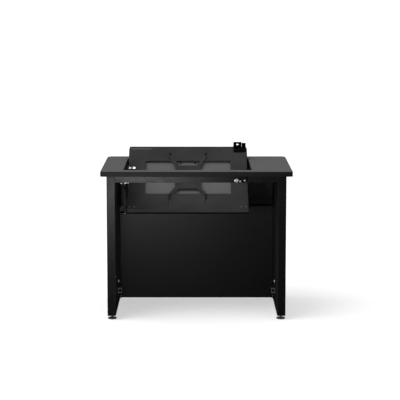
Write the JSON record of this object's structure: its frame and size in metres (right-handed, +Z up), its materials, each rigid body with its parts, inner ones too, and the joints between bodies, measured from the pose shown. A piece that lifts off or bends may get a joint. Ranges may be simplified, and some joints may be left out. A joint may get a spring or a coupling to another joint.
{
  "type": "flip-top computer desk",
  "caption": "Computer desk with sheet-steel end panels and a lid that swings back through the top to show a screen mount on its underside.",
  "frame": {"origin": "on the floor, at the middle of the top's outline", "axes": "+X to the user's right, +Y away from the user, +Z up"},
  "size_m": [0.914, 0.656, 0.8146],
  "materials": {
    "laminate": "satin laminate over board",
    "edging": "satin",
    "powder_coat": "satin powder coat",
    "pan_coat": "satin powder coat",
    "zinc": "zinc plated",
    "chrome": "polished",
    "black_steel": "black oxide",
    "lock_plastic": "semi-gloss",
    "nylon": "moulded",
    "clip_plastic": "moulded",
    "strip": "plain"
  },
  "bodies": {
    "root": {"desktop": "laminate", "desktop_edge_band": "edging", "opening_trim": "edging", "left_leg_shell": "powder_coat", "right_leg_shell": "powder_coat", "left_leg_cover": "powder_coat", "right_leg_cover": "powder_coat", "front_rail": "powder_coat", "rear_rail": "powder_coat", "knee_panel": "powder_coat", "rear_panel": "powder_coat", "wire_tray": "powder_coat", "left_top_angles": "powder_coat", "right_top_angles": "powder_coat", "left_hinge_bracket": "powder_coat", "right_hinge_bracket": "powder_coat", "left_pivot_pin": "zinc", "right_pivot_pin": "zinc", "pivot_washers": "zinc", "pivot_clips": "zinc", "lock_housing": "lock_plastic", "lock_screw": "zinc", "rail_bolts": "black_steel", "panel_screws": "black_steel", "top_screws": "black_steel", "leg_plugs": "zinc", "leg_screw": "zinc", "cable_clips": "clip_plastic", "glide_sockets": "zinc", "spring_anchor": "black_steel"},
    "lid": {"lid_board": "laminate", "lid_edge_band": "edging", "monitor_pan": "pan_coat", "left_lid_arm": "powder_coat", "right_lid_arm": "powder_coat", "pan_screws": "zinc", "arm_screws": "zinc", "stop_bolt": "zinc", "strike_bracket": "powder_coat", "strike_catch": "powder_coat", "strike_screws": "black_steel", "spring_stud": "zinc", "label_plate": "strip", "board_bolts": "black_steel"},
    "screen_mount": {"vesa_bracket": "pan_coat", "bracket_bolts": "black_steel"},
    "spring_rod": {"spring_rod": "zinc"},
    "spring_tube": {"spring_body": "black_steel", "spring_pin": "zinc"},
    "lock_barrel": {"lock_barrel": "chrome"},
    "lock_bolt": {"lock_bolt": "chrome"},
    "front_left_glide": {"front_left_foot": "nylon", "front_left_stem": "chrome"},
    "front_right_glide": {"front_right_foot": "nylon", "front_right_stem": "chrome"},
    "rear_left_glide": {"rear_left_foot": "nylon", "rear_left_stem": "chrome"},
    "rear_right_glide": {"rear_right_foot": "nylon", "rear_right_stem": "chrome"}
  },
  "joints": [
    {"name": "lid_hinge", "type": "hinge", "parent": "root", "child": "lid", "pos_m": [0, 0.007, 0.663], "axis": [1, 0, 0], "range_deg": [0, 144]},
    {"name": "mount_slide", "type": "slide", "parent": "lid", "child": "screen_mount", "axis": [0, -0.809, -0.5878], "range_m": [0, 0.028]},
    {"name": "spring_swing", "type": "hinge", "parent": "root", "child": "spring_rod", "pos_m": [-0.3635, 0.167, 0.454], "axis": [1, 0, 0], "range_deg": [-14.97, 0]},
    {"name": "spring_stroke", "type": "slide", "parent": "spring_rod", "child": "spring_tube", "axis": [0, -0.7045, 0.7097], "range_m": [0, 0.00609]},
    {"name": "lock_turn", "type": "hinge", "parent": "root", "child": "lock_barrel", "pos_m": [0.1906, -0.272, 0.682], "axis": [0, 1, 0], "range_deg": [0, 90]},
    {"name": "lock_throw", "type": "slide", "parent": "root", "child": "lock_bolt", "axis": [0, 1, 0], "range_m": [0, 0.01201]},
    {"name": "front_left_level", "type": "slide", "parent": "root", "child": "front_left_glide", "axis": [0, 0, -1], "range_m": [0, 0.012]},
    {"name": "front_right_level", "type": "slide", "parent": "root", "child": "front_right_glide", "axis": [0, 0, -1], "range_m": [0, 0.012]},
    {"name": "rear_left_level", "type": "slide", "parent": "root", "child": "rear_left_glide", "axis": [0, 0, -1], "range_m": [0, 0.012]},
    {"name": "rear_right_level", "type": "slide", "parent": "root", "child": "rear_right_glide", "axis": [0, 0, -1], "range_m": [0, 0.012]}
  ],
  "couplings": [
    {"joint": "spring_swing", "follows": "lid_hinge", "ratio": -0.10391},
    {"joint": "spring_stroke", "follows": "lid_hinge", "m_per_rad": 0.0024172},
    {"joint": "lock_throw", "follows": "lock_turn", "m_per_rad": 0.0076394}
  ]
}
